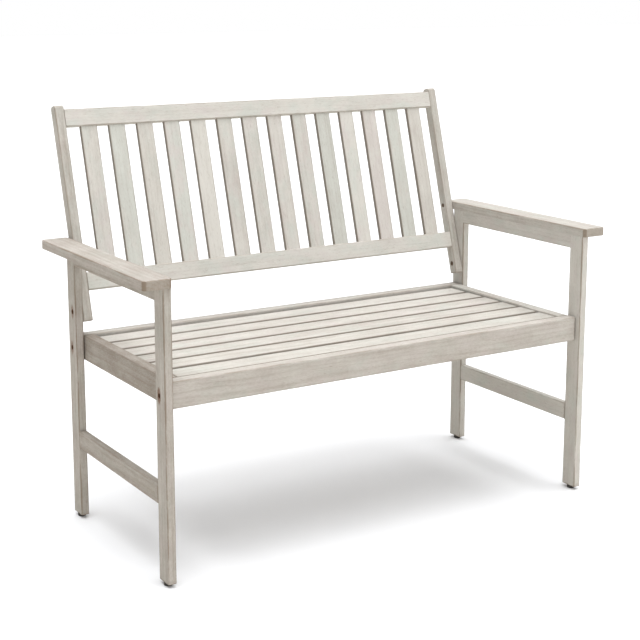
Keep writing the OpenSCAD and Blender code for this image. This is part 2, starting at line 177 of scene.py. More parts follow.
def board_edges_group():
    """How near a point is to a board's long edges, sawn ends, upright corners and narrow
    sides, from its place in the board and the board's half sizes. Edge wear is uneven."""
    takes = [("At", "Vector"), ("Half", "Vector"), ("Place", "Vector"), ("Width", "Float")]
    gives = [(n, "Float") for n in ("Edge", "End", "Corner", "Side depth")]
    group, taken, given = start_group("board edges", takes, gives)
    depth = reckon_vector(group, "SUBTRACT", taken["Half"], reckon_vector(group, "ABSOLUTE", taken["At"]))
    split = add_node(group, "ShaderNodeSeparateXYZ", {0: depth}).outputs
    lower = reckon(group, "MINIMUM", split[0], split[1])
    upper = reckon(group, "MAXIMUM", split[0], split[1])
    second = reckon(group, "MAXIMUM", lower, reckon(group, "MINIMUM", upper, split[2]))
    patchy = mottle(group, stretch(group, taken["Place"], 9), 95, 4, 0.65).outputs[0]
    reach = times(group, taken["Width"], fade(group, patchy, 0.24, 0.64))
    worn = minus(group, 1.0, reckon(group, "DIVIDE", second, plus(group, reach, 0.0005)))
    group.links.new(fade(group, worn, 0.0, 0.75), given["Edge"])
    group.links.new(fade(group, split[0], 0.0022, 0.0003), given["End"])
    group.links.new(fade(group, plus(group, split[0], split[1]), 0.0095, 0.0065), given["Corner"])
    group.links.new(split[1], given["Side depth"])
    return group


sawn_grain = sawn_grain_group()
board_edges = board_edges_group()


def start_finish(name):
    """Opens a material, and returns it with its tree and its shader."""
    finish = bpy.data.materials.new(name)
    finish.use_nodes = True
    return finish, finish.node_tree, finish.node_tree.nodes["Principled BSDF"]


def noted(tree, name):
    """A vector that is kept on every point of a board under a name."""
    return add_node(tree, "ShaderNodeAttribute", {}, attribute_name=name).outputs["Vector"]


def give_gloss(tree, shader, value, smooth, rough):
    """Sets how rough the surface is, from smooth where the value is nought to rough at one."""
    gloss = add_node(tree, "ShaderNodeMapRange", {"Value": value, "To Min": smooth, "To Max": rough})
    tree.links.new(gloss.outputs["Result"], shader.inputs["Roughness"])


def give_relief(tree, shader, height, depth, strength):
    """Raises the surface where the height is great, up to a depth in metres."""
    bump = add_node(tree, "ShaderNodeBump", {"Strength": strength, "Distance": depth, "Height": height})
    tree.links.new(bump.outputs["Normal"], shader.inputs["Normal"])


def whitewash_finish(name, edge_wear=0.45, corner_wear=0.15, side_wear_and_shade=0.0, side_reach=0.0016,
                     bolted=False):
    """Thin white wash on acacia. The wear is how much wood shows along the long edges and at the
    corners of the ends. On the narrow sides the darkening is both bare wood and painted shade,
    the shade of the gaps between slats, and side reach is how far in from those sides it goes.
    A bolted board is stained round its bolt holes."""
    finish, tree, shader = start_finish(name)
    at = noted(tree, "grain_at")
    place = reckon_vector(tree, "ADD", at, noted(tree, "board_own"))
    grain = add_node(tree, "ShaderNodeGroup", {}, node_tree=sawn_grain)
    tree.links.new(place, grain.inputs["Place"])
    grain.inputs["Ring gap"].default_value = 0.0075
    edges = add_node(tree, "ShaderNodeGroup", {}, node_tree=board_edges)
    tree.links.new(at, edges.inputs["At"])
    tree.links.new(noted(tree, "board_half"), edges.inputs["Half"])
    tree.links.new(place, edges.inputs["Place"])
    edges.inputs["Width"].default_value = 0.0042

    # faint clouds of rose and sage in the cream; each board leans to one or the other
    clouds = mottle(tree, stretch(tree, place, 1.7), 27, 4, 0.62).outputs["Color"]
    cloud = add_node(tree, "ShaderNodeSeparateColor", {0: clouds}).outputs
    lean_to = add_node(tree, "ShaderNodeSeparateXYZ", {0: noted(tree, "board_wash")}).outputs
    rose = fade(tree, plus(tree, cloud[0], lean_to[0]), 0.42, 0.72)
    colour = cover(tree, rose, wash_cream, wash_rose)
    sage = fade(tree, plus(tree, cloud[1], lean_to[1]), 0.42, 0.72)
    colour = cover(tree, sage, colour, wash_sage)
    # the wash lies thicker on one board than the next, and in patches, bands and flecks; on the
    # side frames and short seat rails the thickness is also painted shade and light, thin and
    # dark on the left, thick and light on the right
    bands = mottle(tree, stretch(tree, place, 14), 75, 2, 0.5).outputs[0]
    flecks = mottle(tree, stretch(tree, place, 3), 430, 4, 0.72).outputs[0]
    uneven = plus(tree, times(tree, cloud[2], 0.75), times(tree, flecks, 0.85))
    uneven = plus(tree, uneven, times(tree, bands, 0.55))
    # and the thinner it lies, the more uneven it is
    thin_coat = minus(tree, 1.35, lean_to[2])
    uneven = times(tree, minus(tree, uneven, 1.075), thin_coat)
    thickness = plus(tree, lean_to[2], uneven)
    colour = cover(tree, thickness, wood_through, colour)
    # grain, growth rings and pores where the wash is thin
    thin = fade(tree, thickness, 1.0, 0.35)
    depth = plus(tree, times(tree, thin, 0.22), 0.09)
    colour = cover(tree, times(tree, grain.outputs["Streaks"], depth), colour, grain_brown)
    ring_depth = plus(tree, times(tree, thin, 0.14), 0.04)
    colour = cover(tree, times(tree, grain.outputs["Rings"], ring_depth), colour, grain_brown)
    colour = cover(tree, times(tree, grain.outputs["Pores"], 0.42), colour, grain_brown)
    # wood showing where hands and sandpaper have been, and at the sawn ends
    edge = times(tree, edges.outputs["Edge"], edge_wear)
    end = times(tree, edges.outputs["End"], 0.42)
    corner = times(tree, edges.outputs["Corner"], corner_wear)
    bare = reckon(tree, "MAXIMUM", reckon(tree, "MAXIMUM", edge, end), corner)
    colour = cover(tree, bare, colour, rubbed_brown)
    # the narrow sides darken: bare wood that the wash missed, and painted shade of the gaps between slats
    side = fade(tree, edges.outputs["Side depth"], side_reach, side_reach / 8)
    colour = cover(tree, times(tree, side, side_wear_and_shade), colour, bare_side_and_shade_brown)
    if bolted:
        for spot in ("bolt_above", "bolt_below"):
            away = reckon_vector(tree, "SUBTRACT", at, noted(tree, spot))
            # the stain has crept further along the grain than across it
            far = distance(tree, reckon_vector(tree, "MULTIPLY", away, (0.45, 1.0, 0.0)))
            ragged = plus(tree, far, times(tree, flecks, 0.006))
            stain = times(tree, fade(tree, ragged, 0.0125, 0.0075), 0.7)
            colour = cover(tree, stain, colour, bolt_stain_brown)
    tree.links.new(colour, shader.inputs["Base Color"])

    give_gloss(tree, shader, grain.outputs["Flow"], 0.5, 0.82)
    hollow = plus(tree, grain.outputs["Streaks"], times(tree, grain.outputs["Pores"], 1.5))
    height = minus(tree, grain.outputs["Flow"], times(tree, hollow, 0.5))
    give_relief(tree, shader, height, 0.0006, 0.45)
    return finish


def bare_wood_finish():
    """Raw acacia inside the bored holes and on the dowels, its end grain speckled."""
    finish, tree, shader = start_finish("bare acacia")
    place = add_node(tree, "ShaderNodeTexCoord", {}).outputs["Object"]
    grain = add_node(tree, "ShaderNodeGroup", {}, node_tree=sawn_grain)
    tree.links.new(place, grain.inputs["Place"])
    grain.inputs["Ring gap"].default_value = 0.0035
    speckle = mottle(tree, place, 700, 3, 0.7).outputs[0]
    colour = cover(tree, fade(tree, speckle, 0.35, 0.65), raw_dark_brown, raw_light_brown)
    colour = cover(tree, times(tree, grain.outputs["Rings"], 0.5), colour, raw_ring_brown)
    tree.links.new(colour, shader.inputs["Base Color"])
    give_gloss(tree, shader, speckle, 0.65, 0.95)
    give_relief(tree, shader, plus(tree, speckle, grain.outputs["Pores"]), 0.0004, 0.5)
    return finish


whitewash = whitewash_finish("whitewash")
bolted_whitewash = whitewash_finish("whitewash with bolt stains", edge_wear=0.72, bolted=True)
bare_wood = bare_wood_finish()
timber_pile = random.Random(4)


def lay(middle, along, across):
    """Where a board lies: its middle, the way its grain runs and the way its width runs."""
    along = Vector(along).normalized()
    across = Vector(across).normalized()
    turned_to = Matrix((along, across, along.cross(across))).transposed().to_4x4()
    return Matrix.Translation(Vector(middle)) @ turned_to


def fill_box(box, along, across):
    """The size of the board that fills a box, and where it lies."""
    low, high = box
    thick = Vector(along).cross(Vector(across))
    size = tuple(abs((high - low).dot(Vector(way))) for way in (along, across, thick))
    return size, lay((low + high) / 2, along, across)


def put_in_scene(name, data):
    """A new object in the scene, at the origin."""
    made = bpy.data.objects.new(name, data)
    bpy.context.scene.collection.objects.link(made)
    return made


def skin(name, rings):
    """A closed solid stretched over rings of points, with a cap on the first and the last."""
    shape = bmesh.new()
    rows = [[shape.verts.new(point) for point in ring] for ring in rings]
    for one, other in zip(rows, rows[1:]):
        for n in range(len(one)):
            after = (n + 1) % len(one)
            shape.faces.new((one[n], one[after], other[after], other[n]))
    shape.faces.new(rows[0])
    shape.faces.new(rows[-1])
    bmesh.ops.remove_doubles(shape, verts=shape.verts, dist=1e-6)
    bmesh.ops.recalc_face_normals(shape, faces=shape.faces)
    mesh = bpy.data.meshes.new(name)
    shape.to_mesh(mesh)
    shape.free()
    return put_in_scene(name, mesh)


def rounded_outline(a, b, corners, inset):
    """Points round an oblong a by b, inset all round, with its four corners rounded."""
    points = []
    signs = ((1, 1), (-1, 1), (-1, -1), (1, -1))
    for n, (side_a, side_b) in enumerate(signs):
        reach = max(corners[n], inset)
        for step in range(corner_steps + 1):
            turn = math.pi / 2 * (n + step / corner_steps)
            x = side_a * (a / 2 - reach) + (reach - inset) * math.cos(turn)
            y = side_b * (b / 2 - reach) + (reach - inset) * math.sin(turn)
            points.append((x, y))
    return points


def saw_board(name, size, place, corners, ease, from_above=False, low_ease=None, finish=None):
    """A board of length, width and thickness with its edges eased. The four corner radii
    are those of its cross-section, or of its outline if it is cut from above. Ease is the
    radius of all its other edges, and low ease that of those at its low end, if different."""
    length, width, thickness = size
    a, b, run = (length, width, thickness) if from_above else (width, thickness, length)
    rings = []
    for end, radius in ((-1, ease if low_ease is None else low_ease), (1, ease)):
        rounding = []
        for step in range(ease_steps + 1):
            turn = math.pi / 2 * step / ease_steps
            drop = radius * (1 - math.cos(turn))
            rounding.append((radius * (1 - math.sin(turn)), end * (run / 2 - drop)))
        for inset, height in rounding[::-end]:
            outline = rounded_outline(a, b, corners, inset)
            points = [(x, y, height) if from_above else (height, x, y) for x, y in outline]
            rings.append([place @ Vector(point) for point in points])
    board = skin(name, rings)
    board.data.materials.append(finish or whitewash)
    return board


def settle(piece):
    """Makes the piece's modifiers part of its mesh."""
    bpy.context.view_layer.update()
    graph = bpy.context.evaluated_depsgraph_get()
    made = bpy.data.meshes.new_from_object(piece.evaluated_get(graph), depsgraph=graph)
    piece.modifiers.clear()
    piece.data = made


def turned_shape(name, profile, segments=48):
    """A closed turned piece on the Z axis, from its heights and radii from its top down.
    A radius is a number, or a function of the angle where the ring isn't round."""
    rings = []
    for height, radius in profile:
        ring = []
        for n in range(segments):
            angle = 2 * math.pi * n / segments
            out = radius(angle) if callable(radius) else radius
            ring.append((out * math.cos(angle), out * math.sin(angle), height))
        rings.append(ring)
    return skin(name, rings)


def bore(board, mouth, inward, width, depth):
    """Bores a flat-bottomed hole with its rim just broken, and leaves bare wood in it."""
    radius = width / 2
    profile = [(0.001, radius + 0.0013), (-0.0003, radius), (-depth, radius)]
    bit = turned_shape("boring bit", profile)
    outward = -Vector(inward)
    bit.data.transform(outward.to_track_quat("Z", "Y").to_matrix().to_4x4())
    bit.data.transform(Matrix.Translation(Vector(mouth)))
    cut = board.modifiers.new("bore", "BOOLEAN")
    cut.operation = "DIFFERENCE"
    cut.solver = "EXACT"
    cut.object = bit
    settle(board)
    bpy.data.objects.remove(bit)
    mesh = board.data
    if bare_wood.name not in mesh.materials:
        mesh.materials.append(bare_wood)
    inside = mesh.materials.find(bare_wood.name)
    for face in mesh.polygons:
        away = face.center - Vector(mouth)
        sunk = away.dot(Vector(inward))
        sideways = (away - Vector(inward) * sunk).length
        if sunk > 0.0004 and sideways < radius + 0.0002 and sunk < depth + 0.0002:
            face.material_index = inside


def soften(mesh):
    """Shades the eased edges round, and leaves true corners crisp."""
    mesh.shade_smooth()
    mesh.set_sharp_from_angle(angle=math.radians(40))


def even_out(piece):
    """Keeps the flat faces flat beside their rounded edges."""
    weigh = piece.modifiers.new("even out", "WEIGHTED_NORMAL")
    weigh.keep_sharp = True
    settle(piece)


def mark_grain(board, size, place, wash, bolts):
    """Gives every point its place in its own board, so that the finish follows the grain,
    and the board its own lean to rose and to sage, thickness of wash, which on the side
    frames and short seat rails is also painted shade and light, and bolt holes."""
    mesh = board.data
    pith = [timber_pile.choice((-1, 1)) * timber_pile.uniform(0.03, 0.13) for _ in range(2)]
    own = (timber_pile.uniform(0.0, 9.0), *pith)
    back = place.inverted()
    marked = {"grain_at": None, "board_half": Vector(size) / 2, "board_own": own, "board_wash": wash}
    for spot, bolt in zip(("bolt_above", "bolt_below"), bolts):
        marked[spot] = back @ Vector(bolt)
    for name, value in marked.items():
        marks = mesh.attributes.new(name, "FLOAT_VECTOR", "POINT")
        for mark, point in zip(marks.data, mesh.vertices):
            mark.vector = back @ point.co if value is None else value


def fit_board(board, size, place, node, wash, bolts=()):
    """Finishes a board and puts it on the bench in place of the CAD's."""
    mark_grain(board, size, place, wash, bolts)
    soften(board.data)
    even_out(board)
    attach(board, "root")
    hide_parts(node)


# a board's wash: how far it leans to rose, how far to sage, and how thick it lies. The boards
# of the left side frame get a thin, darker wash and those of the right a thick, lighter one,
# which is painted shade on the left of the bench and painted light on the right.
leg_wash_and_shade = {"left": (0.04, 0.0, 0.50), "right": (-0.02, -0.02, 0.90)}
joint_cover = 0.010
bolt_low, bolt_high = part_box("seat_bolts")
pivot_low, pivot_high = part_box("backrest_bolts")
pivot = (pivot_low + pivot_high) / 2
bolt_head_radius = 0.005
seat_bolt_z = (bolt_low.z + bolt_high.z) / 2
front_bolt_y = bolt_low.y + bolt_head_radius
rear_bolt_y = bolt_high.y - bolt_head_radius

for side, sign in (("left", -1), ("right", 1)):
    for end in ("front", "rear"):
        low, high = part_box(f"{side}_{end}_leg")
        size, place = fill_box((low, high), (0, 0, 1), (0, 1, 0))
        corners = (leg_edge_radius,) * 4
        leg = saw_board(f"leg_{end}_{side}", size, place, corners, leg_end_ease, finish=bolted_whitewash)
        outer_x = high.x if sign > 0 else low.x
        seat_bolt_y = front_bolt_y if end == "front" else rear_bolt_y
        bolts = [(outer_x, seat_bolt_y, seat_bolt_z)]
        if end == "rear":
            bolts.append((outer_x, pivot.y, pivot.z))
        for bolt in bolts:
            bore(leg, bolt, (-sign, 0, 0), counterbore_width, counterbore_depth)
        stains = (bolts[0], bolts[-1])
        # the top end is glued under the arm and keeps its wash, so the wear is worked out
        # as if the leg went on above the joint
        whole = (size[0] + 2 * joint_cover, size[1], size[2])
        raised = place @ Matrix.Translation((joint_cover, 0, 0))
        fit_board(leg, whole, raised, f"{side}_{end}_leg", leg_wash_and_shade[side], stains)


# ---- Arms ----
# A flat board on each side frame, glued and dowelled on top of both legs. It is planed
# all over, its corners are rounded to a thumb's width and its rims are eased by hand.

arm_corner_radius = 0.010
arm_rim_ease = 0.0028
# the left arm's thinner, darker wash is painted shade, the right arm's thicker wash painted light
arm_wash_and_shade = {"left": (0.08, 0.0, 0.42), "right": (0.02, 0.0, 0.66)}
arm_low_ease = 0.0006

arm_whitewash = whitewash_finish("whitewash with worn corners", edge_wear=0.65, corner_wear=0.8)

for side in ("left", "right"):
    size, place = fill_box(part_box(f"{side}_arm"), (0, -1, 0), (1, 0, 0))
    corners = (arm_corner_radius,) * 4
    shape = {"from_above": True, "low_ease": arm_low_ease, "finish": arm_whitewash}
    arm = saw_board(f"arm_board_{side}", size, place, corners, arm_rim_ease, **shape)
    # the lower rims are glued down and keep their wash, so the wear is worked out as if
    # the board went on below the joint
    thicker = (size[0], size[1], size[2] + 2 * joint_cover)
    lowered = place @ Matrix.Translation((0, 0, -joint_cover))
    fit_board(arm, thicker, lowered, f"{side}_arm", arm_wash_and_shade[side])


# ---- Arm rails and stretchers ----
# Rails on edge that tie each front leg to its rear leg, tenoned into both: one hard up
# under the arm, its shoulders scribed over the legs' eased edges so that the faces run
# flush, and one low down with its long edges rounded over.

rail_shoulder_ease = 0.0002
rail_tenon = 0.014
arm_rail_corners = (0.0, leg_edge_radius, leg_edge_radius, 0.0)
arm_rail_scribe = 0.0027
stretcher_radius = 0.004
stretcher_shoulder_ease = 0.0012
# the left rails' thin, darker wash is painted shade, and the right rails' thick wash painted light
arm_rail_wash_and_shade = {"left": (0.02, 0.0, 0.40), "right": (0.06, 0.0, 0.84)}
stretcher_wash_and_shade = {"left": (0.02, 0.0, 0.30), "right": (0.0, -0.02, 1.0)}

for side in ("left", "right"):
    front_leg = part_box(f"{side}_front_leg")
    rear_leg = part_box(f"{side}_rear_leg")
    low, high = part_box(f"{side}_arm_rail")
    low.y = front_leg[1].y - arm_rail_scribe
    high.y = rear_leg[0].y + arm_rail_scribe
    size, place = fill_box((low, high), (0, 1, 0), (0, 0, 1))
    rail = saw_board(f"arm_rail_{side}", size, place, arm_rail_corners, rail_shoulder_ease)
    # its upper edge and its ends are joints, where the wash isn't worn
    whole = (size[0] + 2 * rail_tenon, size[1] + 2 * joint_cover, size[2])
    raised = place @ Matrix.Translation((0, joint_cover, 0))
    fit_board(rail, whole, raised, f"{side}_arm_rail", arm_rail_wash_and_shade[side])

    low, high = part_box(f"{side}_stretcher")
    low.y = front_leg[1].y
    high.y = rear_leg[0].y
    size, place = fill_box((low, high), (0, 1, 0), (0, 0, 1))
    corners = (stretcher_radius,) * 4
    stretcher = saw_board(f"stretcher_{side}", size, place, corners, stretcher_shoulder_ease)
    fit_board(stretcher, size, place, f"{side}_stretcher", stretcher_wash_and_shade[side])


# ---- Seat frame ----
# Two long acacia rails and two short ones, doweled into a tray. Steel bolts through the
# legs meet barrel nuts in the long rails' ends, which are bored from below to take them.

seat_rail_radius = 0.004
long_rail_end_ease = 0.002
short_rail_end_ease = 0.0006
barrel_bore_width = 0.010
barrel_bore_depth = 0.039
long_rail_wash = {"front": (0.08, -0.06, 0.62), "back": (0.0, 0.0, 0.70)}
# the left short rail's thin, darker wash is painted shade, the right one's thick wash painted light
short_rail_wash_and_shade = {"left": (0.04, -0.02, 0.20), "right": (-0.03, 0.0, 0.74)}

nut_low, nut_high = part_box("seat_barrel_nuts")
for end, end_y in (("front", front_bolt_y), ("back", rear_bolt_y)):
    low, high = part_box(f"seat_{end}_rail")
    size, place = fill_box((low, high), (1, 0, 0), (0, 0, 1))
    rail = saw_board(f"seat_rail_{end}", size, place, (seat_rail_radius,) * 4, long_rail_end_ease)
    for x in (nut_low.x + barrel_bore_width / 2, nut_high.x - barrel_bore_width / 2):
        bore(rail, (x, end_y, low.z), (0, 0, 1), barrel_bore_width, barrel_bore_depth)
    fit_board(rail, size, place, f"seat_{end}_rail", long_rail_wash[end])

for side in ("left", "right"):
    size, place = fill_box(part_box(f"seat_{side}_rail"), (0, 1, 0), (0, 0, 1))
    rail = saw_board(f"seat_rail_{side}", size, place, (seat_rail_radius,) * 4, short_rail_end_ease)
    fit_board(rail, size, place, f"seat_{side}_rail", short_rail_wash_and_shade[side])


# ---- Seat slats ----
# Six flat acacia slats let into the tray with a gap all round, a little lower at the back
# than at the front so that rain runs off, and screwed from below. One rule lays them out:
# a board cut to length with rounded long edges, repeated at an even pitch.

seat_slat_thickness = 0.015
seat_slat_radius = 0.003
seat_slat_gap = 0.008
seat_slat_end_gap = 0.0065
seat_slat_count = 6
seat_dip_front = 0.002
seat_dip_back = 0.007
seat_slat_end_ease = 0.0012
slat_play = 0.0003


def start_tree(name, takes):
    """Opens a geometry tree, and returns it with its inputs and the way out."""
    tree = bpy.data.node_groups.new(name, "GeometryNodeTree")
    tree.is_modifier = True
    tree.interface.new_socket("Geometry", in_out="OUTPUT", socket_type="NodeSocketGeometry")
    for label, kind in takes:
        tree.interface.new_socket(label, in_out="INPUT", socket_type="NodeSocket" + kind)
    entry = tree.nodes.new("NodeGroupInput")
    way_out = tree.nodes.new("NodeGroupOutput")
    return tree, entry.outputs, way_out.inputs[0]


def shape_node(tree, kind, inputs, **settings):
    """Adds a geometry node to a tree, and returns its first output."""
    return add_node(tree, "GeometryNode" + kind, inputs, **settings).outputs[0]


def keep_note(tree, shape, name, value, domain="POINT"):
    """Stores a vector on a shape under a name."""
    inputs = {"Geometry": shape, "Name": name, "Value": value}
    settings = {"data_type": "FLOAT_VECTOR", "domain": domain}
    return shape_node(tree, "StoreNamedAttribute", inputs, **settings)


def slat_row_tree():
    """A row of like slats with their grain along X, side by side along Y. Each has its
    own piece of timber, and sits a hair out of true."""
    takes = [("Length", "Float"), ("Width", "Float"), ("Thickness", "Float"), ("Edge radius", "Float"),
             ("Count", "Int"), ("First", "Vector"), ("Pitch", "Float"), ("Play", "Float"), ("Seed", "Int"),
             ("Wash from", "Vector"), ("Wash to", "Vector"), ("Finish", "Material")]
    tree, taken, out = start_tree("slat row", takes)
    section = {"Width": taken["Width"], "Height": taken["Thickness"]}
    oblong = shape_node(tree, "CurvePrimitiveQuadrilateral", section)
    rounding = {"Curve": oblong, "Radius": taken["Edge radius"], "Count": 5}
    rounded = shape_node(tree, "FilletCurve", rounding, mode="POLY")
    half_length = times(tree, taken["Length"], 0.5)
    start = add_node(tree, "ShaderNodeCombineXYZ", {"Z": times(tree, half_length, -1.0)}).outputs[0]
    end = add_node(tree, "ShaderNodeCombineXYZ", {"Z": half_length}).outputs[0]
    line = shape_node(tree, "CurvePrimitiveLine", {"Start": start, "End": end})
    sweep = {"Curve": line, "Profile Curve": rounded, "Fill Caps": True}
    upright = shape_node(tree, "CurveToMesh", sweep)
    laid = {"Geometry": upright, "Rotation": (math.pi / 2, 0.0, math.pi / 2)}
    slat = shape_node(tree, "Transform", laid)
    slat = keep_note(tree, slat, "grain_at", shape_node(tree, "InputPosition", {}))
    full = {"X": taken["Length"], "Y": taken["Width"], "Z": taken["Thickness"]}
    whole = add_node(tree, "ShaderNodeCombineXYZ", full).outputs[0]
    half = reckon_vector(tree, "MULTIPLY", whole, (0.5, 0.5, 0.5))
    slat = keep_note(tree, slat, "board_half", half)
    step = add_node(tree, "ShaderNodeCombineXYZ", {"Y": taken["Pitch"]}).outputs[0]
    row = {"Count": taken["Count"], "Start Location": taken["First"], "Offset": step}
    places = shape_node(tree, "MeshLine", row)
    most = add_node(tree, "ShaderNodeCombineXYZ", {axis: taken["Play"] for axis in "XYZ"}).outputs[0]
    least = reckon_vector(tree, "MULTIPLY", most, (-1.0, -1.0, -1.0))
    loose = {"Min": least, "Max": most, "Seed": taken["Seed"]}
    shift = add_node(tree, "FunctionNodeRandomValue", loose, data_type="FLOAT_VECTOR")
    points = shape_node(tree, "SetPosition", {"Geometry": places, "Offset": shift.outputs[0]})
    copies = shape_node(tree, "InstanceOnPoints", {"Points": points, "Instance": slat})
    timber = {"Min": (0.0, 0.03, 0.03), "Max": (9.0, 0.14, 0.14), "Seed": plus(tree, taken["Seed"], 1.0)}
    own = add_node(tree, "FunctionNodeRandomValue", timber, data_type="FLOAT_VECTOR")
    copies = keep_note(tree, copies, "board_own", own.outputs[0], "INSTANCE")
    washes = {"Min": taken["Wash from"], "Max": taken["Wash to"], "Seed": plus(tree, taken["Seed"], 2.0)}
    wash = add_node(tree, "FunctionNodeRandomValue", washes, data_type="FLOAT_VECTOR")
    copies = keep_note(tree, copies, "board_wash", wash.outputs[0], "INSTANCE")
    solid = shape_node(tree, "RealizeInstances", {"Geometry": copies})
    tree.links.new(shape_node(tree, "SetMaterial", {"Geometry": solid, "Material": taken["Finish"]}), out)
    return tree


def grow(name, tree, values):
    """A new piece with a geometry tree on it, its named inputs set."""
    piece = put_in_scene(name, bpy.data.meshes.new(name))
    grower = piece.modifiers.new("grow", "NODES")
    grower.node_group = tree
    for item in tree.interface.items_tree:
        if item.in_out == "INPUT" and item.name in values:
            grower[item.identifier] = values[item.name]
    return piece


def lay_slats(name, values, end_ease, place, cad_nodes):
    """Grows a row of slats, eases their sawn ends and lays the row in its place."""
    slats = grow(name, slat_row, values)
    easing = slats.modifiers.new("ease the ends", "BEVEL")
    easing.limit_method = "ANGLE"
    easing.angle_limit = math.radians(60)
    easing.width = end_ease
    easing.segments = 3
    settle(slats)
    slats.data.transform(place)
    soften(slats.data)
    even_out(slats)
    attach(slats, "root")
    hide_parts(*cad_nodes)


# the seat slats' sides are darkened as bare wood and as painted shade in the gaps between them
worn_and_shaded_whitewash = whitewash_finish("whitewash with worn, shaded sides", side_wear_and_shade=0.62, side_reach=0.0052)
slat_row = slat_row_tree()
front_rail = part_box("seat_front_rail")
back_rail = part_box("seat_back_rail")
well_front_y = front_rail[1].y
well_depth = back_rail[0].y - well_front_y
seat_tilt = math.atan((seat_dip_back - seat_dip_front) / well_depth)
seat_slope = well_depth / math.cos(seat_tilt)
seat_slat_pitch = (seat_slope - 2 * seat_slat_end_gap + seat_slat_gap) / seat_slat_count
seat_slat_width = seat_slat_pitch - seat_slat_gap
first_slat = seat_slat_end_gap + seat_slat_width / 2
slat_low, slat_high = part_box("seat_slat_1")

# the seat's own frame: X across the bench, Y back down the slope, Z up off the slats
seat_frame = Matrix.Translation((0, well_front_y, front_rail[1].z - seat_dip_front))
seat_frame = seat_frame @ Matrix.Rotation(-seat_tilt, 4, "X")
seat_slats = {
    "Length": slat_high.x - slat_low.x,
    "Width": seat_slat_width,
    "Thickness": seat_slat_thickness,
    "Edge radius": seat_slat_radius,
    "Count": seat_slat_count,
    "First": (0.0, first_slat, -seat_slat_thickness / 2),
    "Pitch": seat_slat_pitch,
    "Play": slat_play,
    "Seed": 21,
    "Wash from": (-0.10, -0.10, 0.64),
    "Wash to": (0.10, 0.06, 0.82),
    "Finish": worn_and_shaded_whitewash,
}
slat_nodes = [f"seat_slat_{n}" for n in range(1, seat_slat_count + 1)]
lay_slats("seat_slats", seat_slats, seat_slat_end_ease, seat_frame, slat_nodes)


# ---- Battens ----
# Three acacia battens under the slats, which are screwed down to them from below. The outer
# two are screwed to the short rails, and the middle one is doweled between the long rails.

batten_height = 0.022
batten_widths = {"left": 0.022, "centre": 0.040, "right": 0.022}
batten_edge_radius = 0.002
batten_end_ease = 0.0005
batten_clearance = 0.0004
batten_wash = (0.0, 0.0, 0.55)

for spot, width in batten_widths.items():
    low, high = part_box(f"seat_{spot}_batten")
    size = (seat_slope - batten_clearance, width, batten_height)
    drop = seat_slat_thickness + batten_height / 2
    middle = seat_frame @ Vector(((low.x + high.x) / 2, seat_slope / 2, -drop))
    place = lay(middle, seat_frame.col[1].xyz, (1, 0, 0))
    batten = saw_board(f"batten_{spot}", size, place, (batten_edge_radius,) * 4, batten_end_ease)
    fit_board(batten, size, place, f"seat_{spot}_batten", batten_wash)


# ---- Backrest frame ----
# Two acacia stiles lean back between the rear legs, tenoned to a top and a bottom rail. The
# stiles run past the top rail as short horns with rounded tips, and stop above the seat.

lean = math.radians(16.1)
stile_length = 0.496
stile_depth = 0.025
stile_top_radius = 0.008
stile_foot_radius = 0.003
stile_rim_ease = 0.0025
back_rail_height = 0.041
back_rail_thickness = 0.020
bottom_rail_rise = 0.069
stile_horn = 0.010
sleeve_recess_width = 0.012
sleeve_recess_depth = 0.003
arm_bolt_recess_depth = 0.005
stile_wash = (-0.02, 0.03, 0.62)
back_rail_wash = {"top": (0.0, 0.0, 0.92), "bottom": (-0.02, 0.02, 0.90)}

up_the_lean = Vector((0, math.sin(lean), math.cos(lean)))
through_the_lean = Vector((0, math.cos(lean), -math.sin(lean)))
stile_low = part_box("right_back_stile")[0]
stile_foot = Vector((0, stile_low.y, stile_low.z + stile_depth * math.sin(lean)))
arm_bolt_low, arm_bolt_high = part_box("arm_bolts")
arm_bolt = (arm_bolt_low + arm_bolt_high) / 2

for side, sign in (("left", -1), ("right", 1)):
    low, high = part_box(f"{side}_back_stile")
    middle = stile_foot + up_the_lean * stile_length / 2 + through_the_lean * stile_depth / 2
    middle.x = (low.x + high.x) / 2
    size = (stile_length, stile_depth, high.x - low.x)
    place = lay(middle, up_the_lean, through_the_lean)
    corners = (stile_top_radius, stile_foot_radius, stile_foot_radius, stile_top_radius)
    stile = saw_board(f"stile_{side}", size, place, corners, stile_rim_ease, from_above=True)
    inner_x = low.x if sign > 0 else high.x
    bore(stile, (inner_x, pivot.y, pivot.z), (sign, 0, 0), sleeve_recess_width, sleeve_recess_depth)
    bore(stile, (inner_x, arm_bolt.y, arm_bolt.z), (sign, 0, 0), counterbore_width, arm_bolt_recess_depth)
    fit_board(stile, size, place, f"{side}_back_stile", stile_wash)

top_rail_rise = stile_length - stile_horn - back_rail_height
for spot, rise in (("bottom", bottom_rail_rise), ("top", top_rail_rise)):
    size = (2 * stile_low.x, back_rail_height, back_rail_thickness)
    middle = stile_foot + up_the_lean * (rise + back_rail_height / 2)
    middle = middle + through_the_lean * back_rail_thickness / 2
    place = lay(middle, (1, 0, 0), up_the_lean)
    rail = saw_board(f"back_rail_{spot}", size, place, (leg_edge_radius,) * 4, rail_shoulder_ease)
    whole = (size[0] + 2 * rail_tenon, size[1], size[2])
    fit_board(rail, whole, place, f"back_{spot}_rail", back_rail_wash[spot])


# ---- Backrest slats ----
# Fourteen thin acacia slats stand between the two rails, housed in them and set back from
# their faces. Their narrow sides are painted dark beside the faces: bare wood that the wash
# hardly reached, and painted shade.

back_slat_width = 0.041
back_slat_thickness = 0.010
back_slat_radius = 0.0018
back_slat_inset = 0.004
back_slat_pitch = 0.0704
back_slat_count = 14
back_slat_end_ease = 0.0005
slat_housing = 0.010

